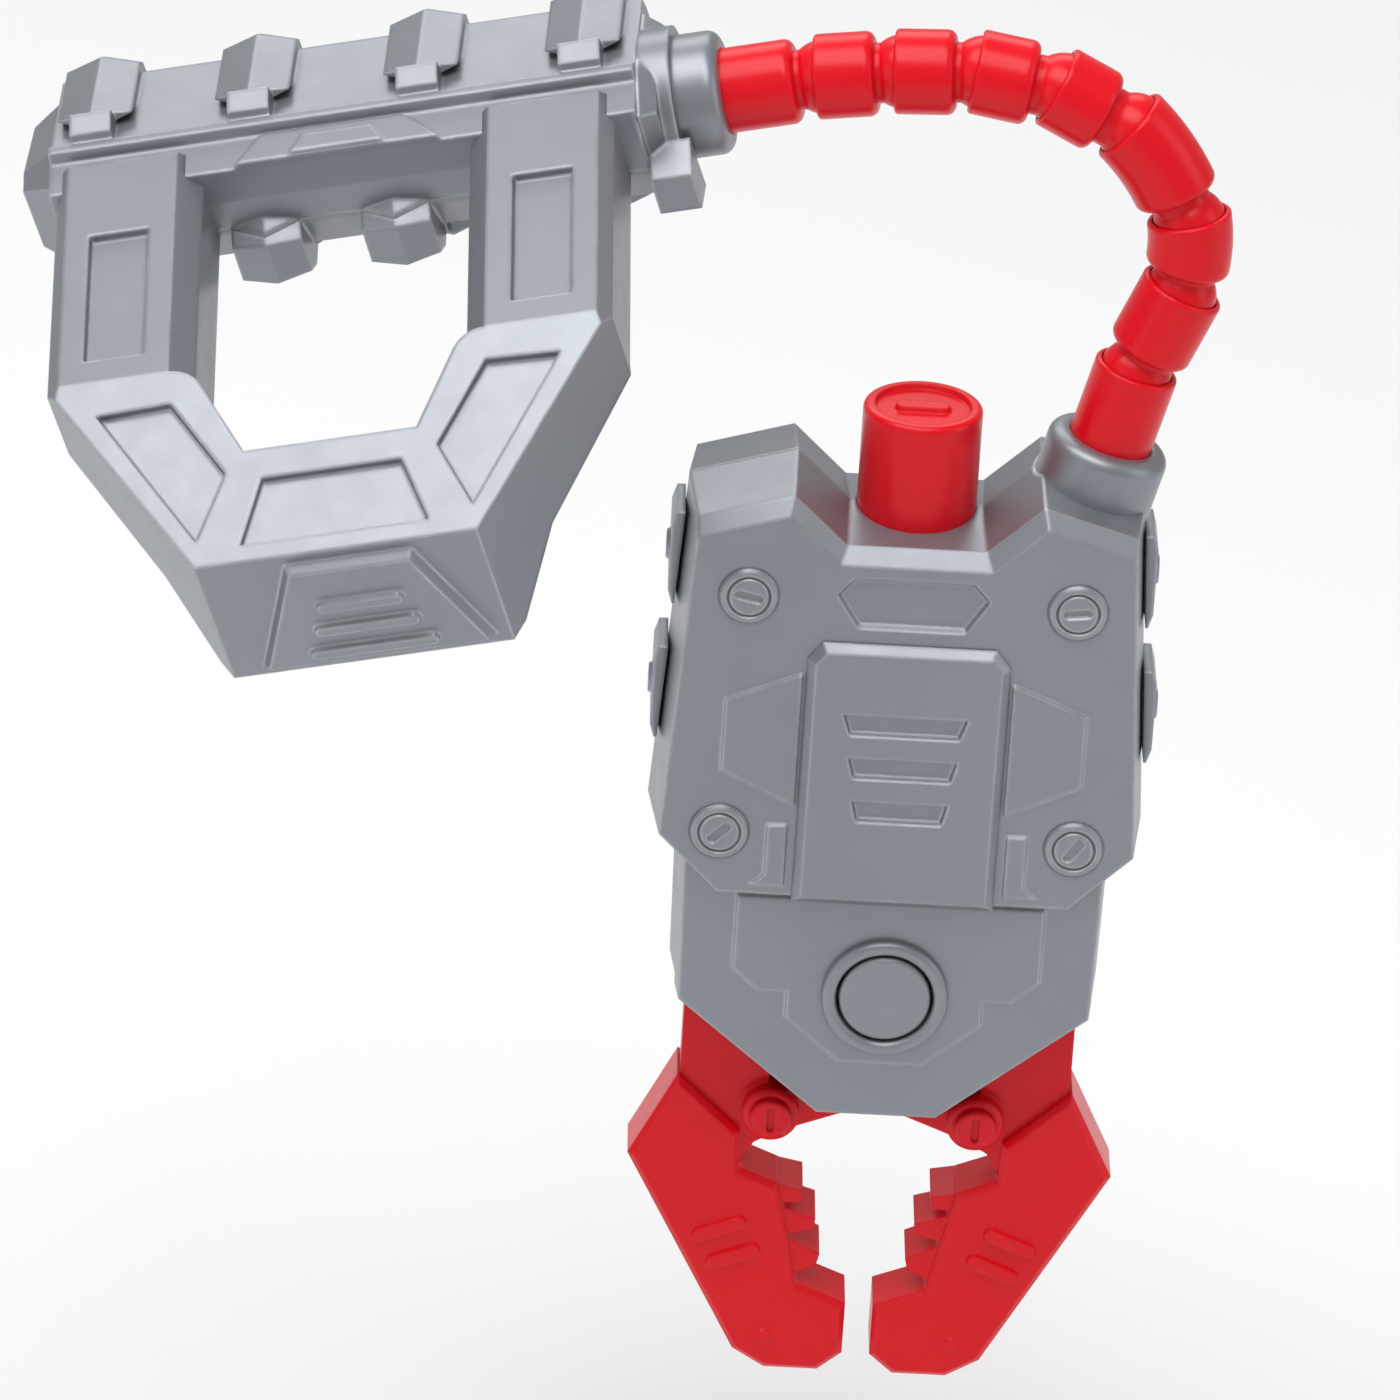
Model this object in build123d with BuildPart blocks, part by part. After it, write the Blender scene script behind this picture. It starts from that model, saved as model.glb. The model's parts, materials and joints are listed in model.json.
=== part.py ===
from build123d import *
import os
from math import atan2, cos, degrees, radians, sin, tan

# Hydraulic arm kit: a stirrup handle, a chain of ball-and-socket links and a
# press-to-open claw.  Millimetres, +Z up.  The world origin is the middle of the
# hand opening in the stirrup, and the claw's front faces -Y.

# ------------------------------------------------------------ driving sizes
# Handle, placed from the hand opening: u along the rail, v up, w out of the front.
HANDLE_AT = Vector(-3.7, 18.2, 20.6)
RAIL_DIRECTION = Vector(0.9658, -0.0810, 0.2462).normalized()
GRIP_NORMAL = Vector(-0.2580, -0.3938, 0.8823).normalized()
COLLAR_AT_UVW = (50.7, 4.3, -11.0)

# Arm links, from the handle to the claw.  Headings are degrees above the rail.
LINK_LENGTHS = [13.2, 10.5, 10.5, 10.6, 10.8, 15.0, 10.3, 13.0, 9.8]
LINK_HEADINGS = [0, -5, -10, -22, -40, -66.5, -102.5, -127]
LINK_CURVES = [0, 0, 0, 0, 0, 22, 22, 0, 0]
NECK_SPANS = [3.6, 3.6, 3.6, 3.9, 4.4, 4.2, 3.8, 3.8, 0]
COLLAR_LEAN_DEG = 14.4
LINK_R = 5.65
LINK_BORE_R = 5.72
BALL_R = 4.95
SOCKET_R = 5.1
NECK_R = 4.0
RIM_REACH = 1.2
RIM_ROUND = 0.5
END_ROUND = 1.3
PLUG_DEPTH = 9.0
COLLAR_R = 8.25
COLLAR_ROUND = 1.7
COLLAR_LENGTH = 14.0

# Claw housing, measured from its front button: x across, y backwards, z up.
COLLAR_RIM = Vector(25.2, 12.0, 78.8)
PARTING_Y = 12.0
BACK_Y = 24.0
DRAFT_DEG = 6.0
WALL = 2.4
ARMOUR_RISE = 2.0
PANEL_RISE = 1.5
RELIEF = 0.5
TOP_BEVEL = 2.0
CAVITY_FRONT_Y = 3.0
CAVITY_BACK_Y = 21.6
JAW_SLOT_Y = (5.2, 19.2)
JAW_SLOT_TOP_Z = -1.0

# Plunger and jaws.
PLUNGER_Y = 12.0
PLUNGER_R = 8.0
PLUNGER_TOP_Z = 82.4
PLUNGER_FLANGE_Z = 64.0
FLANGE_R = 8.75
SPRING_SEAT_Z = 40.0
ROD_R = 3.0
FOOT_Z = -19.6
JAW_PIVOT = (14.0, -23.0)
JAW_PIN_R = 2.0
JAW_FRONT_Y = 7.2
JAW_BACK_Y = 16.8
WEB_FRONT_Y = 9.0
WEB_BACK_Y = 14.8
BRACKET_FRONT_Y = 17.2

# Front button.
BUTTON_R = 6.2
BUTTON_HOLE_R = 6.6
BEZEL_R = 8.6
BUTTON_FRONT = 1.6
WELL_FLOOR_Y = 7.5

RUNNING_FIT = 0.06


# ------------------------------------------------------------ frames
def uvw(u, v, w):
    """World position of a point given in the handle's own directions."""
    return HANDLE_AT + RAIL_DIRECTION * u + HANDLE.y_dir * v + GRIP_NORMAL * w


HANDLE = Plane(origin=HANDLE_AT, x_dir=RAIL_DIRECTION, z_dir=GRIP_NORMAL)
COLLAR_LEAN = Vector(sin(radians(COLLAR_LEAN_DEG)), 0, cos(radians(COLLAR_LEAN_DEG)))
ARM_NORMAL = RAIL_DIRECTION.cross(COLLAR_LEAN).normalized()
ARM = Plane(origin=uvw(*COLLAR_AT_UVW), x_dir=RAIL_DIRECTION, z_dir=ARM_NORMAL)
LAST_HEADING = degrees(atan2(-COLLAR_LEAN.dot(ARM.y_dir), -COLLAR_LEAN.dot(ARM.x_dir)))


def along(heading):
    """World direction of a heading in the plane that the arm bends in."""
    return ARM.x_dir * cos(radians(heading)) + ARM.y_dir * sin(radians(heading))


headings = [*LINK_HEADINGS, LAST_HEADING]
joint_points = [ARM.origin]
for length, heading, curve, neck in zip(LINK_LENGTHS, headings, LINK_CURVES, NECK_SPANS):
    rim = along(heading + curve / 2) * -RIM_REACH
    barrel = along(heading) * (length - neck + RIM_REACH)
    joint_points.append(joint_points[-1] + rim + barrel + along(heading - curve / 2) * neck)
HOUSING_AT = joint_points[-1] - COLLAR_RIM
HOUSING = Plane(origin=HOUSING_AT, x_dir=(1, 0, 0), z_dir=(0, -1, 0))
BACKWARD = Plane(origin=HOUSING_AT, x_dir=(-1, 0, 0), z_dir=(0, 1, 0))


def front(depth):
    """The claw's front plane, moved back into the housing by depth."""
    return HOUSING.offset(-depth)


def level(z, x=0):
    """A horizontal plane on the plunger's axis, or beside it by x."""
    return Plane(origin=HOUSING_AT + Vector(x, PLUNGER_Y, z), z_dir=(0, 0, 1))


def across(u):
    """A plane across the rail at u, with x backwards and y up."""
    return Plane(origin=uvw(u, 0, 0), x_dir=-GRIP_NORMAL, z_dir=RAIL_DIRECTION)


def both_sides(points):
    """The points of a right side and their mirror image, as one closed outline."""
    return [*points, *[(-x, y) for x, y in reversed(points)]]


def flipped(points):
    """The mirror image of an outline, left for right."""
    return [(-x, y) for x, y in reversed(points)]


def outline(points, mode=Mode.ADD):
    """Draw a closed outline, always anticlockwise, in the open sketch."""
    turns = sum(x0 * y1 - x1 * y0 for (x0, y0), (x1, y1) in zip(points, [*points[1:], points[0]]))
    Polygon(*(points if turns > 0 else points[::-1]), align=None, mode=mode)


def finish(piece, name):
    """Label a finished piece and write it as its own file."""
    piece.part.label = name
    export_step(piece.part, f"parts/{name}.step")


os.makedirs("parts", exist_ok=True)

# ------------------------------------------------------------ claw housing shells
BODY_SIDE = [(9.3, 66.7), (16.6, 73.6), (29.3, 69.8), (32.1, 23.4), (28.2, 19.3), (27.8, -2.3), (8.1, -18.5)]
ARMOUR_SIDE = [(9.3, 66.7), (16.6, 73.6), (29.3, 69.8), (32.1, 23.4), (23.7, 15.1)]
TRAPEZOID = [(13.9, 48.7), (24.3, 44.3), (24.3, 33.6), (13.9, 28.6)]
CORNER_PAD = [(14.6, 26.0), (17.6, 26.0), (17.6, 18.4), (19.6, 16.6), (14.6, 16.6)]
BELLY_SIDE = [(20.9, 14.2), (20.9, 2.9), (17.2, -0.3), (13.4, -0.3), (13.4, -4.1), (5.8, -10.5)]
CREST_SIDE = [(8.0, 62.8), (10.3, 60.2), (7.2, 55.4)]
ROSETTES = [(-21.9, 59.5), (21.9, 59.5), (-23.8, 24.4), (23.8, 24.4)]
ROSETTE_SLOTS_DEG = [-12, 6, 45, 55]
ROSETTE_R = 4.0
BACK_SCREWS = [(-22, 50), (22, 50), (-22, 8), (22, 8)]
DRAFT_GROWTH = PARTING_Y * tan(radians(DRAFT_DEG))
COLLAR_BASE = Plane(origin=joint_points[-1] - COLLAR_LEAN * COLLAR_LENGTH, z_dir=COLLAR_LEAN)

with BuildPart() as housing_space:
    # The room that the plunger, the arm collar, the jaws and the button need.
    with BuildSketch(level(45)):
        Circle(PLUNGER_R + RUNNING_FIT)
    extrude(amount=40)
    with BuildSketch(COLLAR_BASE):
        Circle(COLLAR_R)
    extrude(amount=40)
    with BuildSketch(front(JAW_SLOT_Y[1])):
        outline(both_sides([(50, -40), (50, JAW_SLOT_TOP_Z)]))
    extrude(amount=JAW_SLOT_Y[1] - JAW_SLOT_Y[0])
    with BuildSketch(front(10)):
        Circle(BUTTON_HOLE_R)
    extrude(amount=20)
    with BuildSketch(front(0.8 - ARMOUR_RISE)):
        with Locations(*ROSETTES):
            Circle(ROSETTE_R)
    extrude(amount=10)


def drafted_half(plane, depth):
    """Half of the housing, solid, narrowing away from the parting plane."""
    with BuildPart() as half:
        with BuildSketch(plane):
            outline(both_sides(BODY_SIDE))
            offset(amount=DRAFT_GROWTH, kind=Kind.TANGENT)
        extrude(amount=depth, taper=DRAFT_DEG)
    return half.part


FRONT_PARTING = front(PARTING_Y)
REAR_PARTING = BACKWARD.offset(PARTING_Y)
front_half = drafted_half(FRONT_PARTING, PARTING_Y)
rear_half = drafted_half(REAR_PARTING, BACK_Y - PARTING_Y)

with BuildPart() as front_shell:
    add(front_half)
    with BuildSketch(front(0)):
        outline(both_sides(ARMOUR_SIDE))
    extrude(amount=ARMOUR_RISE, taper=DRAFT_DEG)
    armour_face = front_shell.faces().sort_by(Axis.Y)[0]
    chamfer(armour_face.edges().filter_by(lambda e: e.center().Z > HOUSING_AT.Z + 60), length=TOP_BEVEL)
    with BuildSketch(FRONT_PARTING):
        outline(both_sides(BODY_SIDE))
        offset(amount=-WALL, kind=Kind.TANGENT)
    extrude(amount=PARTING_Y - CAVITY_FRONT_Y, mode=Mode.SUBTRACT)
    with BuildSketch(front(-ARMOUR_RISE)):
        outline(TRAPEZOID)
        outline(flipped(TRAPEZOID))
        outline(CORNER_PAD)
        outline(flipped(CORNER_PAD))
    extrude(amount=RELIEF, taper=30)
    with BuildSketch(front(0)):
        outline(both_sides(BELLY_SIDE))
    extrude(amount=RELIEF, taper=30)
    with BuildSketch(front(-ARMOUR_RISE)):
        outline(both_sides(CREST_SIDE))
    extrude(amount=-0.9, taper=30, mode=Mode.SUBTRACT)
    add(housing_space.part, mode=Mode.SUBTRACT)
finish(front_shell, "claw_front_shell")

with BuildPart() as rear_shell:
    add(rear_half)
    back_face = rear_shell.faces().sort_by(Axis.Y)[-1]
    chamfer(back_face.edges(), length=1.5)
    with BuildSketch(REAR_PARTING):
        outline(both_sides(BODY_SIDE))
        offset(amount=-WALL, kind=Kind.TANGENT)
    extrude(amount=CAVITY_BACK_Y - PARTING_Y, mode=Mode.SUBTRACT)
    with BuildSketch(REAR_PARTING):
        with Locations(*BACK_SCREWS):
            Circle(3.2)
    extrude(amount=BACK_Y - PARTING_Y)
    with BuildSketch(BACKWARD.offset(BACK_Y)):
        with Locations(*BACK_SCREWS):
            Circle(2.6)
    extrude(amount=-2.5, mode=Mode.SUBTRACT)
    add(housing_space.part, mode=Mode.SUBTRACT)
finish(rear_shell, "claw_rear_shell")

with BuildPart() as back_screws:
    with BuildSketch(BACKWARD.offset(BACK_Y - 2.5)):
        with Locations(*BACK_SCREWS):
            Circle(2.5)
    extrude(amount=1.8)
    with BuildSketch(BACKWARD.offset(BACK_Y - 0.7)):
        with Locations(*BACK_SCREWS):
            RectangleRounded(3.4, 0.8, 0.3)
            RectangleRounded(0.8, 3.4, 0.3)
    extrude(amount=-1.0, mode=Mode.SUBTRACT)
finish(back_screws, "claw_back_screws")

PANEL_SIDE = [(13.6, 14.6), (13.6, 50.8), (11.6, 53.4)]
VENTS = [(41.8, 17.0, 14.8), (35.4, 14.9, 13.2), (29.0, 13.2, 11.6)]
VENT_HEIGHT = 3.2

with BuildPart() as chest_panel:
    with BuildSketch(front(-ARMOUR_RISE)):
        outline(both_sides(PANEL_SIDE))
    extrude(amount=PANEL_RISE)
    panel_face = chest_panel.faces().sort_by(Axis.Y)[0]
    chamfer(panel_face.edges(), length=1.2)
    with BuildSketch(front(-ARMOUR_RISE - PANEL_RISE)):
        for z, top, bottom in VENTS:
            outline(both_sides([(top / 2, z + VENT_HEIGHT / 2), (bottom / 2, z - VENT_HEIGHT / 2)]))
    extrude(amount=-0.9, taper=25, mode=Mode.SUBTRACT)
    add(front_shell.part, mode=Mode.SUBTRACT)
finish(chest_panel, "chest_panel")

with BuildPart() as screw_caps:
    with BuildSketch(front(0.8 - ARMOUR_RISE)):
        with Locations(*ROSETTES):
            Circle(ROSETTE_R)
    extrude(amount=1.4)
    chamfer(screw_caps.faces().group_by(Axis.Y)[0].edges(), length=0.4)
    with BuildSketch(front(-ARMOUR_RISE - 0.6)):
        with Locations(*ROSETTES):
            Circle(3.0)
            Circle(2.6, mode=Mode.SUBTRACT)
    extrude(amount=-0.5, mode=Mode.SUBTRACT)
    with BuildSketch(front(-ARMOUR_RISE - 0.6)):
        for (x, z), turn in zip(ROSETTES, ROSETTE_SLOTS_DEG):
            with Locations(Location((x, z, 0), (0, 0, turn))):
                SlotOverall(3.9, 1.2)
    extrude(amount=-0.5, mode=Mode.SUBTRACT)
finish(screw_caps, "screw_caps")

BOSS_HEIGHT = 13.5
BOSS_DEPTH = 9.0
BOSS_SPOTS = [(60.0, 32.5), (40.0, 33.8)]
NUB_R = 2.2
NUB_RISE = 0.5


def wall_x(z):
    """How far out the housing's side wall stands at the parting line."""
    (top_x, top_z), (foot_x, foot_z) = BODY_SIDE[2], BODY_SIDE[3]
    return foot_x + (top_x - foot_x) * (z - foot_z) / (top_z - foot_z) + DRAFT_GROWTH + 0.02


def boss_outline(z, reach):
    """The outline of a right-hand boss, from the wall out to its flat face."""
    top = z + BOSS_HEIGHT / 2
    foot = z - BOSS_HEIGHT / 2
    outer = [(reach - 0.6, top), (reach, top - 2), (reach, foot + 2), (reach - 0.6, foot)]
    return [(wall_x(top), top), *outer, (wall_x(foot), foot)]


with BuildPart() as side_bosses:
    with BuildSketch(front(PLUNGER_Y + BOSS_DEPTH / 2)):
        for z, reach in BOSS_SPOTS:
            outline(boss_outline(z, reach))
            outline(flipped(boss_outline(z, reach)))
    extrude(amount=BOSS_DEPTH)
    for z, reach in BOSS_SPOTS:
        for side in (1, -1):
            nub_base = HOUSING_AT + Vector(side * reach, PLUNGER_Y, z)
            with BuildSketch(Plane(origin=nub_base, z_dir=(side, 0, 0))):
                Circle(NUB_R)
            extrude(amount=NUB_RISE, taper=30)
finish(side_bosses, "side_bosses")

with BuildPart() as claw_collar:
    with BuildSketch(COLLAR_BASE):
        Circle(COLLAR_R)
    extrude(amount=COLLAR_LENGTH)
    rim_edge = claw_collar.edges().sort_by(Axis(COLLAR_BASE.origin, COLLAR_LEAN))[-1]
    fillet(rim_edge, radius=COLLAR_ROUND)
    with BuildSketch(Plane(origin=joint_points[-1], z_dir=COLLAR_LEAN)):
        Circle(LINK_BORE_R)
    extrude(amount=-PLUG_DEPTH - 0.3, mode=Mode.SUBTRACT)
    rod_room = Plane(origin=HOUSING_AT + Vector(0, PLUNGER_Y, 45), z_dir=(0, 0, 1))
    with BuildSketch(rod_room):
        Circle(PLUNGER_R + 1.6)
    extrude(amount=40, mode=Mode.SUBTRACT)
finish(claw_collar, "claw_arm_collar")

# ------------------------------------------------------------ front button
with BuildPart() as bezel:
    with BuildSketch(front(-RELIEF)):
        Circle(BEZEL_R)
        Circle(BUTTON_HOLE_R, mode=Mode.SUBTRACT)
    extrude(amount=1.4)
    fillet(bezel.faces().sort_by(Axis.Y)[0].edges(), radius=0.8)
finish(bezel, "button_bezel")

with BuildPart() as button:
    with BuildSketch(front(4.4)):
        Circle(BUTTON_R)
    extrude(amount=4.4 + BUTTON_FRONT)
    fillet(button.edges().sort_by(Axis.Y)[0], radius=0.5)
    with BuildSketch(front(4.6)):
        Circle(7.4)
    extrude(amount=1.4)
    with BuildSketch(front(5.6)):
        Circle(2.4)
    extrude(amount=2)
finish(button, "button")

with BuildPart() as button_well:
    with BuildSketch(front(WELL_FLOOR_Y + 1.0)):
        Circle(9.2)
    extrude(amount=WELL_FLOOR_Y + 1.0 - CAVITY_FRONT_Y)
    with BuildSketch(front(WELL_FLOOR_Y)):
        Circle(7.8)
    extrude(amount=10, mode=Mode.SUBTRACT)
finish(button_well, "button_well")

with BuildPart() as button_spring:
    with BuildSketch(front(WELL_FLOOR_Y)):
        Circle(4.6)
        Circle(3.6, mode=Mode.SUBTRACT)
    extrude(amount=1.2)
finish(button_spring, "button_spring")

# ------------------------------------------------------------ plunger
with BuildPart() as plunger_cap:
    with BuildSketch(level(PLUNGER_FLANGE_Z - 2)):
        Circle(PLUNGER_R)
    extrude(amount=PLUNGER_TOP_Z - PLUNGER_FLANGE_Z + 2)
    fillet(plunger_cap.edges().sort_by(Axis.Z)[-1], radius=0.9)
    with BuildSketch(level(PLUNGER_FLANGE_Z - 2)):
        Circle(FLANGE_R)
    extrude(amount=1.9)
    with BuildSketch(level(PLUNGER_FLANGE_Z - 2)):
        Circle(6.5)
    extrude(amount=14, mode=Mode.SUBTRACT)
    with BuildSketch(level(PLUNGER_TOP_Z)):
        Circle(6.5)
        RectangleRounded(7.0, 2.2, 0.9, mode=Mode.SUBTRACT)
    extrude(amount=-0.8, taper=20, mode=Mode.SUBTRACT)
finish(plunger_cap, "plunger_cap")

ROD_TOP_Z = PLUNGER_FLANGE_Z + 12
with BuildPart() as plunger_rod:
    with BuildSketch(level(FOOT_Z + 2)):
        Circle(ROD_R)
    extrude(amount=ROD_TOP_Z - FOOT_Z - 2)
    with BuildSketch(level(FOOT_Z)):
        Rectangle(8.4, 7.0)
    extrude(amount=2)
finish(plunger_rod, "plunger_rod")

SPRING_WIRE_R = 0.5
SPRING_COIL_R = 5.2
SPRING_BOTTOM_Z = SPRING_SEAT_Z + SPRING_WIRE_R
SPRING_TOP_Z = ROD_TOP_Z - SPRING_WIRE_R
with BuildPart() as plunger_spring:
    spring_axis = level(SPRING_BOTTOM_Z)
    with BuildLine():
        coil = Helix(
            pitch=(SPRING_TOP_Z - SPRING_BOTTOM_Z) / 8,
            height=SPRING_TOP_Z - SPRING_BOTTOM_Z,
            radius=SPRING_COIL_R,
            center=spring_axis.origin,
            direction=(0, 0, 1),
        )
    with BuildSketch(Plane(origin=coil @ 0, z_dir=coil % 0)):
        Circle(SPRING_WIRE_R)
    sweep(is_frenet=True)
finish(plunger_spring, "plunger_spring")

with BuildPart() as spring_seat:
    with BuildSketch(level(SPRING_SEAT_Z - 2)):
        with Locations((0, 0.3)):
            Rectangle(56, 18)
        Circle(ROD_R + RUNNING_FIT, mode=Mode.SUBTRACT)
    extrude(amount=2)
finish(spring_seat, "spring_seat")

# ------------------------------------------------------------ jaws
JAW_BLADE = [
    (27.0, -18.0), (33.2, -30.5), (17.1, -60.3), (12.6, -63.0), (5.2, -63.0), (1.9, -60.2), (1.9, -52.4),
    (8.9, -49.6), (12.3, -34.2), (17.7, -32.0), (18.0, -26.4),
]
JAW_TEETH = [
    (9.4, -48.6), (6.3, -46.9), (5.9, -45.2), (10.2, -43.2), (10.4, -42.2), (7.0, -41.4), (6.8, -39.7),
    (11.3, -38.3), (11.4, -37.4), (8.9, -37.2), (8.8, -35.4), (12.8, -34.6), (16.0, -36.0), (13.0, -48.0),
]
JAW_WEB = [(26.7, -20.0), (26.7, -5.0), (15.0, -5.0), (14.4, -20.0), (2.6, -20.0), (2.6, -22.6), (13, -26.7),
           (16.0, -28.5), (18.6, -33.5), (27.0, -30.0)]
JAW_RIDGES = [(20.0, -41.1), (17.9, -45.3)]
RIDGE_TILT_DEG = 22
JAW_DOT = (13.0, -57.8)
JAW_BEVEL = 0.8
TEETH_SETBACK = 1.3


def jaw(side):
    """One jaw: a thick blade, a thin web behind the housing and a pivot boss."""
    blade = JAW_BLADE if side > 0 else flipped(JAW_BLADE)
    teeth = JAW_TEETH if side > 0 else flipped(JAW_TEETH)
    web = JAW_WEB if side > 0 else flipped(JAW_WEB)
    pivot = (side * JAW_PIVOT[0], JAW_PIVOT[1])
    with BuildPart() as piece:
        with BuildSketch(front(JAW_BACK_Y)):
            outline(blade)
        extrude(amount=JAW_BACK_Y - JAW_FRONT_Y)
        chamfer(piece.faces().sort_by(Axis.Y)[0].edges(), length=JAW_BEVEL)
        chamfer(piece.faces().sort_by(Axis.Y)[-1].edges(), length=JAW_BEVEL)
        with BuildSketch(front(JAW_BACK_Y)):
            outline(teeth)
        extrude(amount=JAW_BACK_Y - JAW_FRONT_Y - TEETH_SETBACK)
        with BuildSketch(front(WEB_BACK_Y)):
            outline(web)
        extrude(amount=WEB_BACK_Y - WEB_FRONT_Y)
        with BuildSketch(front(WEB_BACK_Y)):
            with Locations(pivot):
                Circle(3.9)
        extrude(amount=WEB_BACK_Y - 6.4)
        chamfer(piece.faces().sort_by(Axis.Y)[0].edges(), length=0.5)
        with BuildSketch(front(JAW_FRONT_Y)):
            for x, z in JAW_RIDGES:
                with Locations(Location((side * x, z, 0), (0, 0, -side * RIDGE_TILT_DEG))):
                    SlotOverall(8.0, 2.4)
        extrude(amount=0.8, taper=20)
        with BuildSketch(front(JAW_FRONT_Y)):
            with Locations((side * JAW_DOT[0], JAW_DOT[1])):
                Circle(1.3)
        extrude(amount=0.5, taper=35)
        with BuildSketch(front(30)):
            with Locations(pivot):
                Circle(JAW_PIN_R + RUNNING_FIT)
        extrude(amount=40, mode=Mode.SUBTRACT)
    return piece


finish(jaw(1), "right_jaw")
finish(jaw(-1), "left_jaw")

PIVOTS = [JAW_PIVOT, (-JAW_PIVOT[0], JAW_PIVOT[1])]
PIN_SLOT_DEG = 90
PIN_HEAD_R = 2.8
with BuildPart() as pivot_pins:
    with BuildSketch(front(BRACKET_FRONT_Y + 2)):
        with Locations(*PIVOTS):
            Circle(JAW_PIN_R)
    extrude(amount=BRACKET_FRONT_Y + 2 - 5.5)
    with BuildSketch(front(6.3)):
        with Locations(*PIVOTS):
            Circle(PIN_HEAD_R)
    extrude(amount=1.1)
    chamfer(pivot_pins.faces().group_by(Axis.Y)[0].edges(), length=0.3)
    with BuildSketch(front(5.2)):
        with Locations(*[Location((x, z, 0), (0, 0, PIN_SLOT_DEG)) for x, z in PIVOTS]):
            SlotOverall(3.8, 1.1)
    extrude(amount=-0.6, mode=Mode.SUBTRACT)
finish(pivot_pins, "jaw_pivot_pins")

with BuildPart() as jaw_springs:
    with BuildSketch(front(BRACKET_FRONT_Y)):
        with Locations(*PIVOTS):
            Circle(3.3)
            Circle(JAW_PIN_R + 0.2, mode=Mode.SUBTRACT)
    extrude(amount=BRACKET_FRONT_Y - WEB_BACK_Y - 0.3)
finish(jaw_springs, "jaw_return_springs")

BRACKET_SIDE = [(18.6, -1.2), (18.6, -22.5), (16.4, -26.8), (11.6, -26.8), (9.0, -19.0), (4.0, -15.0)]
with BuildPart() as jaw_bracket:
    with BuildSketch(front(JAW_SLOT_Y[1])):
        outline(both_sides(BRACKET_SIDE))
        with Locations(*PIVOTS):
            Circle(JAW_PIN_R, mode=Mode.SUBTRACT)
    extrude(amount=JAW_SLOT_Y[1] - BRACKET_FRONT_Y)
finish(jaw_bracket, "jaw_bracket")


# ------------------------------------------------------------ arm links
def link_shell(number):
    """A barrel with a ball socket at its start and a ball on a neck at its end."""
    length = LINK_LENGTHS[number]
    curve = LINK_CURVES[number]
    start = joint_points[number]
    end = joint_points[number + 1]
    heading_in = headings[number] + curve / 2
    heading_out = headings[number] - curve / 2
    first = number == 0
    last = number == len(LINK_LENGTHS) - 1
    tail = -PLUG_DEPTH if first else -RIM_REACH
    stop = length + PLUG_DEPTH if last else length - NECK_SPANS[number]
    begin = Plane(origin=start + along(heading_in) * tail, z_dir=along(heading_in))
    goal = begin.origin + along(headings[number]) * (stop - tail)
    with BuildPart() as piece:
        with BuildSketch(begin):
            Circle(LINK_R)
        if curve:
            bend_r = (stop - tail) / 2 / sin(radians(curve / 2))
            bend_centre = begin.origin + along(heading_in - 90) * bend_r
            revolve(axis=Axis(bend_centre, -ARM_NORMAL), revolution_arc=curve)
        else:
            extrude(amount=stop - tail)
        ends = piece.edges().filter_by(lambda e: e.is_closed)
        rim = ends.sort_by_distance(begin.origin)[0]
        far_rim = ends.sort_by_distance(goal)[0]
        if not last:
            fillet(far_rim, radius=END_ROUND)
        if not first:
            fillet(rim, radius=RIM_ROUND)
        if not first:
            with Locations(start):
                Sphere(SOCKET_R, mode=Mode.SUBTRACT)
        if not last:
            with BuildSketch(Plane(origin=goal, z_dir=along(heading_out))):
                Circle(NECK_R)
            extrude(amount=(end - goal).length)
            with Locations(end):
                Sphere(BALL_R)
    return piece


for number in range(len(LINK_LENGTHS)):
    finish(link_shell(number), f"arm_link_{number + 1}")

# ------------------------------------------------------------ handle rail
RAIL_SECTION = [
    (1.0, -6.6), (1.0, -1.1), (-0.5, -0.4), (-0.5, 0.8), (0.8, 1.8), (5.0, 17.6), (8.0, 18.6), (16.5, 18.6),
    (22.5, 12.5), (22.5, 1.0), (18.5, -5.0), (12.0, -7.6), (6.0, -7.6),
]
RAIL_HOLLOW = [(4.0, -4.0), (4.0, 3.0), (8.0, 15.6), (15.5, 15.6), (19.5, 11.5), (19.5, 1.5), (17.0, -3.5), (11.5, -4.8)]
RIB_SECTION = [
    (1.2, 4.4), (-1.2, 5.4), (2.4, 18.9), (4.6, 21.0), (16.8, 21.0), (24.6, 13.2), (24.6, 0.0), (21.0, -5.0),
    (16, -3), (18, 10), (10, 15), (6, 12),
]
FOOT_SECTION = [(0.2, 0.9), (-1.4, 1.6), (-1.9, 4.8), (1.0, 6.0), (3.0, 5.0)]
LOBE_SECTION = [(9.0, -6.0), (11.5, -11.2), (18.5, -11.6), (21.5, -7.5), (22.0, -1.0), (16.0, -4.0)]
RIDGE_SECTION = [(8.5, 17.0), (9.0, 20.6), (15.0, 20.6), (16.5, 17.0)]
RIBS_U = [-32.6, -11.2, 11.6, 33.4]
LOBES_U = [-29.0, -11.5, 6.0, 23.5]
RIDGES_U = [-19.0, 20.5]
STRIP_PANEL = [(-13.5, -6.6), (14.8, -6.6), (9.5, -1.4), (-10.0, -1.4)]
STRIP_BADGE = [(-6.0, -6.2), (7.2, -6.2), (5.4, -3.0), (-4.2, -3.0)]
STRIP_DEPTH = 1.0
STRIP_RISE = 0.8
BADGE_RISE = 0.5
RAIL_START_U = -38.5
RAIL_END_U = 40.5
RAIL_PARTING_D = 11.0


def crossing_bar(section, u, width, side_slope=0):
    """A bar of the given section and width, centred at u, whose sides may slope in."""
    with BuildPart() as bar:
        with BuildSketch(across(u)):
            outline(section)
        extrude(amount=width / 2, both=True, taper=side_slope)
    return bar.part


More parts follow.
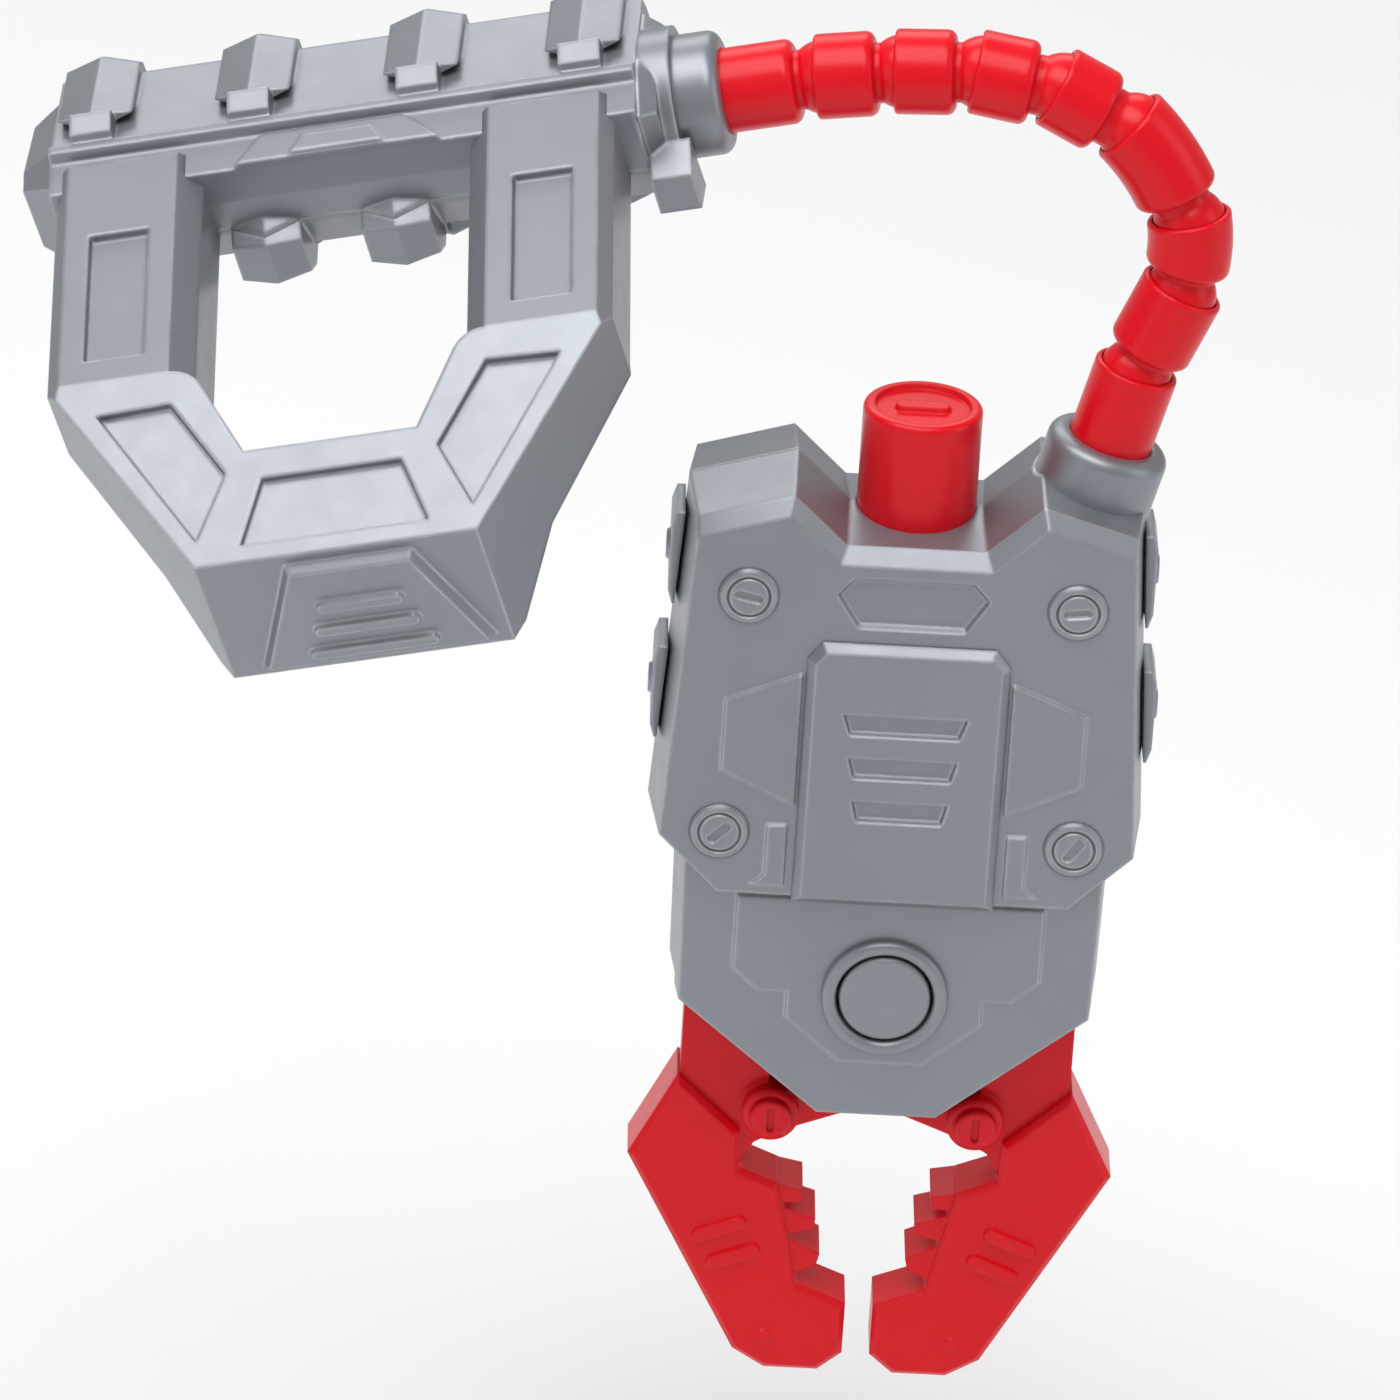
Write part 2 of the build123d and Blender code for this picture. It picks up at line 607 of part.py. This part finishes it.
with BuildPart() as rail_body:
    with BuildSketch(across(RAIL_START_U)):
        outline(RAIL_SECTION)
    extrude(amount=RAIL_END_U - RAIL_START_U)
    for rib_u in RIBS_U:
        add(crossing_bar(RIB_SECTION, rib_u, 10.0, 16))
        add(crossing_bar(FOOT_SECTION, rib_u, 5.6))
    for lobe_u in LOBES_U:
        add(crossing_bar(LOBE_SECTION, lobe_u, 9.4, 12))
    for ridge_u in RIDGES_U:
        add(crossing_bar(RIDGE_SECTION, ridge_u, 8.0, 10))
    with BuildSketch(HANDLE.offset(-STRIP_DEPTH)):
        outline(STRIP_PANEL)
    extrude(amount=STRIP_RISE, taper=20)
    with BuildSketch(HANDLE.offset(STRIP_RISE - STRIP_DEPTH)):
        outline(STRIP_BADGE)
    extrude(amount=BADGE_RISE, taper=30)
rail_outside = rail_body.part

with BuildPart() as rail_inside:
    with BuildSketch(across(RAIL_START_U)):
        outline(RAIL_HOLLOW)
    extrude(amount=RAIL_END_U - RAIL_START_U - 3)

with BuildPart() as rail_front:
    add(rail_outside)
    add(rail_inside.part, mode=Mode.SUBTRACT)
    split(bisect_by=HANDLE.offset(-RAIL_PARTING_D), keep=Keep.TOP)
finish(rail_front, "rail_front_shell")

with BuildPart() as rail_rear:
    add(rail_outside)
    add(rail_inside.part, mode=Mode.SUBTRACT)
    split(bisect_by=HANDLE.offset(-RAIL_PARTING_D), keep=Keep.BOTTOM)
finish(rail_rear, "rail_rear_shell")

END_SECTION = [(2.0, -4.5), (1.5, 2.0), (6.0, 15.5), (9.0, 17.0), (16.0, 17.0), (21.0, 12.0), (21.0, 1.5), (17.0, -4.5)]
with BuildPart() as end_cap:
    with BuildSketch(Plane(origin=across(RAIL_START_U).origin, x_dir=GRIP_NORMAL, z_dir=-RAIL_DIRECTION)):
        outline([(-d, v) for d, v in END_SECTION])
    extrude(amount=4.6, taper=32)
finish(end_cap, "rail_end_cap")

RING_SECTION = [(1.8, -7.0), (0.6, 1.0), (4.6, 14.5), (8.0, 17.0), (15.5, 17.0), (21.5, 12.0), (21.5, 0.5), (17.5, -7.0)]
with BuildPart() as end_ring:
    with BuildSketch(across(RAIL_END_U)):
        outline(RING_SECTION)
    extrude(amount=2.4, taper=35)
    with BuildSketch(across(RAIL_END_U)):
        with Locations((-COLLAR_AT_UVW[2], COLLAR_AT_UVW[1])):
            Circle(9.6)
    extrude(amount=4.2)
    with BuildSketch(across(RAIL_END_U)):
        outline([(9, -5), (10.5, -10.4), (17.0, -10.4), (19.5, -4)])
    extrude(amount=5.6)
    with BuildSketch(across(RAIL_END_U)):
        with Locations((-COLLAR_AT_UVW[2], COLLAR_AT_UVW[1])):
            Circle(COLLAR_R - 1.25)
    extrude(amount=8, mode=Mode.SUBTRACT)
finish(end_ring, "rail_end_ring")

COLLAR_MOUTH = Plane(origin=ARM.origin, z_dir=RAIL_DIRECTION)
with BuildPart() as handle_collar:
    with BuildSketch(COLLAR_MOUTH.offset(RAIL_END_U + 4.2 - COLLAR_AT_UVW[0])):
        Circle(COLLAR_R)
    extrude(amount=COLLAR_AT_UVW[0] - RAIL_END_U - 4.2)
    fillet(handle_collar.edges().sort_by(Axis(ARM.origin, RAIL_DIRECTION))[-1], radius=COLLAR_ROUND)
    with BuildSketch(COLLAR_MOUTH.offset(RAIL_END_U - COLLAR_AT_UVW[0] + 0.05)):
        Circle(COLLAR_R - 1.3)
    extrude(amount=6)
    with BuildSketch(COLLAR_MOUTH):
        Circle(LINK_BORE_R)
    extrude(amount=-PLUG_DEPTH - 0.3, mode=Mode.SUBTRACT)
finish(handle_collar, "handle_arm_collar")

# ------------------------------------------------------------ stirrup grip
LOWER_TILT_DEG = 14.8
FOLD_V = -41.7
OUTER_SIDE = [(37.5, -2.8), (37.5, FOLD_V), (18.6, -69.5)]
INNER_SIDE = [(18.0, 12.0), (18.0, FOLD_V), (11.4, -54.2)]
GRIP_PROFILE = [
    (0, 12), (0, FOLD_V), (9.0, FOLD_V - 33), (31.0, FOLD_V - 33), (29.0, -67), (20.0, -59), (12.4, -40.0),
    (12.4, 12),
]
LEG_PANEL = [(24.3, -15.7), (32.5, -15.7), (32.5, -38.0), (24.3, -38.0)]
DIAGONAL_PANEL = [(30.9, -5.0), (18.2, -25.3), (13.8, -15.8), (20.8, -4.6)]
BOTTOM_PANEL_SIDE = [(9.3, -17.1), (12.6, -26.5)]
PANEL_SINK = 1.2
PANEL_TAPER_DEG = 12
PANEL_CLEAR = 0.3
PAD_CENTRE_U = 1.3
PAD_SIDE = [(8.4, -9.2), (15.6, -28.0)]
PAD_RISE = 1.6
PAD_BARS = [(-16.2, 11.8), (-20.6, 14.2), (-25.0, 17.3)]
PAD_BAR_WIDTH = 2.0
PAD_BAR_RISE = 0.8
INNER_BEVEL = 3.0
OUTER_BEVEL = 1.8

lower_normal = GRIP_NORMAL * cos(radians(LOWER_TILT_DEG)) - HANDLE.y_dir * sin(radians(LOWER_TILT_DEG))
LOWER_FACE = Plane(origin=uvw(0, FOLD_V, 0), x_dir=RAIL_DIRECTION, z_dir=lower_normal)
GRIP_UNDERSIDE = Plane(origin=uvw(PAD_CENTRE_U, OUTER_SIDE[-1][1], 0), x_dir=RAIL_DIRECTION, z_dir=-HANDLE.y_dir)

with BuildPart() as grip:
    with BuildSketch(HANDLE.offset(-40)):
        outline(both_sides(OUTER_SIDE))
        outline(both_sides(INNER_SIDE), Mode.SUBTRACT)
    extrude(amount=60)
    with BuildSketch(across(-50)):
        outline(GRIP_PROFILE)
    extrude(amount=100, mode=Mode.INTERSECT)
grip_outline = grip.part


def on_front(edge):
    """True for the edges of the grip's two front faces, apart from the fold."""
    middle = HANDLE.to_local_coords(edge.center())
    low = LOWER_FACE.to_local_coords(edge.center())
    upper_edge = abs(middle.Z) < 0.01 and middle.Y > FOLD_V + 1
    lower_edge = abs(low.Z) < 0.01 and low.Y < -1
    return (upper_edge or lower_edge) and middle.Y < -4


def is_inner(edge):
    """True for the edges round the hand opening."""
    middle = HANDLE.to_local_coords(edge.center())
    return abs(middle.X) < 18.5 and middle.Y > -56


def is_outer(edge):
    """True for the edges round the outside of the stirrup."""
    middle = HANDLE.to_local_coords(edge.center())
    return abs(middle.X) > 26 or middle.Y < -57


with BuildPart() as grip_whole:
    add(grip_outline)
    front_edges = grip_whole.edges().filter_by(on_front)
    chamfer(front_edges.filter_by(is_inner), length=INNER_BEVEL)
    front_edges = grip_whole.edges().filter_by(on_front)
    chamfer(front_edges.filter_by(is_outer), length=OUTER_BEVEL)
    for panel in (LEG_PANEL, flipped(LEG_PANEL)):
        with BuildSketch(HANDLE.offset(PANEL_CLEAR)):
            outline(panel)
        extrude(amount=-PANEL_SINK - PANEL_CLEAR, taper=PANEL_TAPER_DEG, mode=Mode.SUBTRACT)
    for panel in (DIAGONAL_PANEL, flipped(DIAGONAL_PANEL), both_sides(BOTTOM_PANEL_SIDE)):
        with BuildSketch(LOWER_FACE.offset(PANEL_CLEAR)):
            outline(panel)
        extrude(amount=-PANEL_SINK - PANEL_CLEAR, taper=PANEL_TAPER_DEG, mode=Mode.SUBTRACT)
    with BuildSketch(GRIP_UNDERSIDE):
        outline(both_sides(PAD_SIDE))
    extrude(amount=PAD_RISE, taper=25)
    with BuildSketch(GRIP_UNDERSIDE.offset(PAD_RISE)):
        for w, bar_length in PAD_BARS:
            with Locations((0, w)):
                SlotOverall(bar_length, PAD_BAR_WIDTH)
    extrude(amount=PAD_BAR_RISE, taper=20)
    add(rail_outside, mode=Mode.SUBTRACT)
finish(grip_whole, "stirrup_grip")
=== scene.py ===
import json

import bpy
from mathutils import Matrix, Vector


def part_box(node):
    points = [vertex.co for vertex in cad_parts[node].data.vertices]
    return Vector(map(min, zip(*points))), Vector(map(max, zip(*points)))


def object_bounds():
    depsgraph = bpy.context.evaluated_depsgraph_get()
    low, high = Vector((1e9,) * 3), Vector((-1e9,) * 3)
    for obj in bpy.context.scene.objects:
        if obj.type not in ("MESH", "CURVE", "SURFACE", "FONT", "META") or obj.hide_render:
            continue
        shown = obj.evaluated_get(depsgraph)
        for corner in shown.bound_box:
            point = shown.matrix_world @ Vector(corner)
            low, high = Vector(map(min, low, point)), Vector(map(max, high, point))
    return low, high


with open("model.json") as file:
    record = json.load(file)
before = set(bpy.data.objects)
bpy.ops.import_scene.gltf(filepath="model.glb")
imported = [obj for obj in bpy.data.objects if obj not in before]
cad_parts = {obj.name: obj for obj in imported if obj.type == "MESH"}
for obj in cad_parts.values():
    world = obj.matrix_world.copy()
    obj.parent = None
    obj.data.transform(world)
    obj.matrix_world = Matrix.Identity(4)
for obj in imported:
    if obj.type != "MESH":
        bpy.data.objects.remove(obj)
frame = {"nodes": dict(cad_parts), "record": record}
CAD_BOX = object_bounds()

# ------------------------------------------------------------ sizes and colours
MM = 0.001
GREY = (0.262, 0.278, 0.306, 1)
GREY_DARK = (0.244, 0.259, 0.286, 1)
# The edge colours make rounded edges lighter: a painted highlight, mixed with wear.
GREY_EDGE_HIGHLIGHT_AND_WEAR = (0.60, 0.63, 0.67, 1)
RED = (0.720, 0.0025, 0.011, 1)
RED_DARK = (0.690, 0.0020, 0.010, 1)
RED_EDGE_HIGHLIGHT_AND_WEAR = (0.86, 0.020, 0.035, 1)
STEEL = (0.46, 0.47, 0.49, 1)
STEEL_DARK = (0.33, 0.34, 0.36, 1)
STEEL_EDGE_HIGHLIGHT_AND_WEAR = (0.75, 0.76, 0.78, 1)
FLOOR_COLOUR = (0.86, 0.86, 0.865, 1)
WORLD_COLOUR = (1.0, 1.0, 1.0, 1)

# Noise sizes, in cells per metre of the object.
FLOW_SCALE = 38
SCUFF_SCALE = 210
SPECKLE_SCALE = 900
MOTTLE_SCALE = 5

# How far the surface finish varies about its mean.
ROUGHNESS_BELOW = 0.03
ROUGHNESS_ABOVE = 0.04
COAT_ROUGHNESS = 0.18
FLOW_BUMP = 0.05
SPECKLE_HEIGHT = 0.02 * MM
FLOW_HEIGHT = 0.2 * MM
FLOOR_SHADE = 0.985

# Painted edge highlight and edge wear start, and are complete, where the rounded and the flat
# normal agree this much.
HIGHLIGHT_AND_WEAR_START = 0.995
HIGHLIGHT_AND_WEAR_FULL = 0.80
BEVEL_SAMPLES = 6

# Camera axes in the row frame, for a long lens a little above and left of the claw.
CAMERA_RIGHT = Vector((0.9983, 0.0021, 0.0580))
CAMERA_UP = Vector((-0.0530, 0.4390, 0.8969))
CAMERA_BACK = Vector((-0.0235, -0.8985, 0.4384))
CAMERA_DISTANCE = 1.486
CAMERA_LENS = 282.9
CAMERA_SENSOR = 36
CAMERA_REACH = 20
AIM_LEFT_OF_BUTTON = 25.0 * MM
AIM_ABOVE_BUTTON = 40.5 * MM
FLOOR_DROP = 0.045
FLOOR_SIDE = 6.0

# Lights: place from the middle of the model, power in watts, width and height.
LIGHTS = {
    "key": ((-0.22, -0.30, 1.14), 13.5, 1.3, 0.8),
    "fill": ((-1.0, -0.7, 0.25), 1.6, 0.8, 1.0),
    "side": ((1.0, -0.2, 0.35), 1.6, 0.5, 0.9),
    "back": ((-0.1, 0.9, 0.8), 3.5, 0.9, 0.5),
}
WORLD_STRENGTH = 0.42


# ------------------------------------------------------------ materials
class Nodes:
    """A material's node tree, with short calls to add and join nodes."""

    def __init__(self, name):
        self.material = bpy.data.materials.new(name)
        self.material.use_nodes = True
        self.tree = self.material.node_tree
        self.shader = self.tree.nodes["Principled BSDF"]

    def add(self, kind, **values):
        """A new node with its properties set."""
        node = self.tree.nodes.new(kind)
        for key, value in values.items():
            setattr(node, key, value)
        return node

    def join(self, source, target):
        """Links an output to an input."""
        self.tree.links.new(source, target)

    def noise(self, scale, detail, roughness=0.5):
        """Noise that is fixed to the object, in metres."""
        place = self.add("ShaderNodeTexCoord")
        texture = self.add("ShaderNodeTexNoise")
        texture.inputs["Scale"].default_value = scale
        texture.inputs["Detail"].default_value = detail
        texture.inputs["Roughness"].default_value = roughness
        self.join(place.outputs["Object"], texture.inputs["Vector"])
        return texture.outputs["Fac"]

    def spread(self, value, low, high, to_low=0.0, to_high=1.0):
        """Stretches a value's range low..high to to_low..to_high."""
        node = self.add("ShaderNodeMapRange")
        node.inputs["From Min"].default_value = low
        node.inputs["From Max"].default_value = high
        node.inputs["To Min"].default_value = to_low
        node.inputs["To Max"].default_value = to_high
        self.join(value, node.inputs["Value"])
        return node.outputs["Result"]

    def blend(self, amount, first, second):
        """Mixes two colours, each a tuple or an output."""
        node = self.add("ShaderNodeMix", data_type="RGBA")
        self.join(amount, node.inputs["Factor"])
        for value, socket in ((first, node.inputs[6]), (second, node.inputs[7])):
            if isinstance(value, tuple):
                socket.default_value = value
            else:
                self.join(value, socket)
        return node.outputs[2]

    def edges(self, radius):
        """A rounded normal, and a mask that is 1 on edges, where a painted highlight and wear go.
        """
        rounded = self.add("ShaderNodeBevel", samples=BEVEL_SAMPLES)
        rounded.inputs["Radius"].default_value = radius
        flat = self.add("ShaderNodeNewGeometry")
        dot = self.add("ShaderNodeVectorMath", operation="DOT_PRODUCT")
        self.join(rounded.outputs["Normal"], dot.inputs[0])
        self.join(flat.outputs["Normal"], dot.inputs[1])
        return rounded.outputs["Normal"], self.spread(dot.outputs["Value"], HIGHLIGHT_AND_WEAR_START, HIGHLIGHT_AND_WEAR_FULL)

    def bump(self, layers, normal):
        """Stacks height layers, each (output, strength, distance), on a normal."""
        for height, strength, distance in layers:
            node = self.add("ShaderNodeBump")
            node.inputs["Strength"].default_value = strength
            node.inputs["Distance"].default_value = distance
            self.join(height, node.inputs["Height"])
            self.join(normal, node.inputs["Normal"])
            normal = node.outputs["Normal"]
        return normal


def moulded(name, colours, roughness, metallic, coat, specular, grain, radius):
    """Moulded or plated surface: flow marks, fine grain, scuffs, and lighter edges that are a
    painted highlight mixed with wear.
    """
    base, dark, edge_highlight_and_wear = colours
    nodes = Nodes(name)
    normal, highlight_and_wear_rim = nodes.edges(radius)
    flow = nodes.noise(FLOW_SCALE, 3)
    speckle = nodes.noise(SPECKLE_SCALE, 2, 0.6)
    scuffs = nodes.noise(SCUFF_SCALE, 6, 0.7)
    tint = nodes.blend(nodes.spread(flow, 0.3, 0.7), dark, base)
    highlight_and_wear_mask = nodes.add("ShaderNodeMath", operation="MULTIPLY")
    nodes.join(highlight_and_wear_rim, highlight_and_wear_mask.inputs[0])
    nodes.join(nodes.spread(scuffs, 0.35, 0.65, 0.45, 1.0), highlight_and_wear_mask.inputs[1])
    # Lightens the rounded edges, broken up by scuffs: a painted highlight together with wear.
    nodes.join(nodes.blend(highlight_and_wear_mask.outputs[0], tint, edge_highlight_and_wear), nodes.shader.inputs["Base Color"])
    rough = nodes.spread(scuffs, 0.3, 0.7, roughness - ROUGHNESS_BELOW, roughness + ROUGHNESS_ABOVE)
    nodes.join(rough, nodes.shader.inputs["Roughness"])
    layers = [(speckle, grain, SPECKLE_HEIGHT), (flow, FLOW_BUMP, FLOW_HEIGHT)]
    nodes.join(nodes.bump(layers, normal), nodes.shader.inputs["Normal"])
    nodes.shader.inputs["Metallic"].default_value = metallic
    nodes.shader.inputs["Specular IOR Level"].default_value = specular
    nodes.shader.inputs["Coat Weight"].default_value = coat
    nodes.shader.inputs["Coat Roughness"].default_value = COAT_ROUGHNESS
    return nodes.material


def floor_material():
    """Pale matt floor with a faint mottle."""
    nodes = Nodes("pale_floor")
    mottle = nodes.noise(MOTTLE_SCALE, 4)
    shade = tuple(c * FLOOR_SHADE for c in FLOOR_COLOUR[:3]) + (1,)
    nodes.join(nodes.blend(mottle, shade, FLOOR_COLOUR), nodes.shader.inputs["Base Color"])
    nodes.join(nodes.spread(mottle, 0.3, 0.7, 0.8, 0.9), nodes.shader.inputs["Roughness"])
    return nodes.material


# Roughness, metallic, coat, specular, grain and edge radius follow each set of colours.
FINISHES = {
    "grey_plastic": moulded(
        "grey_plastic", (GREY, GREY_DARK, GREY_EDGE_HIGHLIGHT_AND_WEAR), 0.38, 0.60, 0.06, 0.5, 0.18, 0.8 * MM
    ),
    "red_plastic": moulded(
        "red_plastic", (RED, RED_DARK, RED_EDGE_HIGHLIGHT_AND_WEAR), 0.30, 0.0, 0.10, 0.22, 0.06, 0.6 * MM
    ),
    "steel": moulded(
        "steel", (STEEL, STEEL_DARK, STEEL_EDGE_HIGHLIGHT_AND_WEAR), 0.30, 1.0, 0.0, 0.5, 0.30, 0.2 * MM
    ),
}


def dress_frame():
    """Gives every CAD node the material of its slot in the record."""
    for row in frame["record"]["subparts"]:
        node = frame["nodes"][row["node"]]
        node.data.materials.clear()
        node.data.materials.append(FINISHES[row["material_slot"]])


dress_frame()


# ------------------------------------------------------------ floor, lights and camera
def button_centre():
    """The middle of the front button's face."""
    low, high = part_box("button")
    return Vector(((low.x + high.x) / 2, low.y, (low.z + high.z) / 2))


def lay_floor(low, high):
    """One wide floor under the whole object."""
    middle = (low + high) / 2
    half = FLOOR_SIDE / 2
    height = low.z - FLOOR_DROP
    turns = [(-half, -half), (half, -half), (half, half), (-half, half)]
    corners = [(middle.x + x, middle.y + y, height) for x, y in turns]
    mesh = bpy.data.meshes.new("floor")
    mesh.from_pydata(corners, [], [(0, 1, 2, 3)])
    mesh.materials.append(floor_material())
    floor = bpy.data.objects.new("floor", mesh)
    bpy.context.scene.collection.objects.link(floor)


def aim(thing, place, target):
    """Puts a light or camera at a place, looking at a target."""
    thing.location = place
    thing.rotation_euler = (Vector(target) - Vector(place)).to_track_quat("-Z", "Y").to_euler()


def area_light(name, place, target, power, width, height):
    """A rectangular light that faces its target."""
    lamp = bpy.data.lights.new(name, "AREA")
    lamp.energy = power
    lamp.shape = "RECTANGLE"
    lamp.size = width
    lamp.size_y = height
    light = bpy.data.objects.new(name, lamp)
    bpy.context.scene.collection.objects.link(light)
    aim(light, place, target)


def light_studio(middle):
    """A high key a little left of the front, two low fills and a light behind."""
    for name, (offset, power, width, height) in LIGHTS.items():
        area_light(name, middle + Vector(offset), middle, power, width, height)
    world = bpy.data.worlds.new("studio")
    world.use_nodes = True
    background = world.node_tree.nodes["Background"]
    background.inputs["Color"].default_value = WORLD_COLOUR
    background.inputs["Strength"].default_value = WORLD_STRENGTH
    bpy.context.scene.world = world


def place_camera():
    """A long lens turned by the camera axes, aimed beside and above the button."""
    camera = bpy.data.cameras.new("camera")
    camera.lens = CAMERA_LENS
    camera.sensor_width = CAMERA_SENSOR
    camera.clip_end = CAMERA_REACH
    holder = bpy.data.objects.new("camera", camera)
    bpy.context.scene.collection.objects.link(holder)
    target = button_centre() - CAMERA_RIGHT * AIM_LEFT_OF_BUTTON + CAMERA_UP * AIM_ABOVE_BUTTON
    turn = Matrix((CAMERA_RIGHT, CAMERA_UP, CAMERA_BACK)).transposed()
    place = target + CAMERA_BACK * CAMERA_DISTANCE
    holder.matrix_world = Matrix.Translation(place) @ turn.to_4x4()
    bpy.context.scene.camera = holder


box_low, box_high = (Vector(corner) for corner in CAD_BOX)
lay_floor(box_low, box_high)
light_studio((box_low + box_high) / 2)
place_camera()
bpy.context.scene.view_settings.view_transform = "Standard"
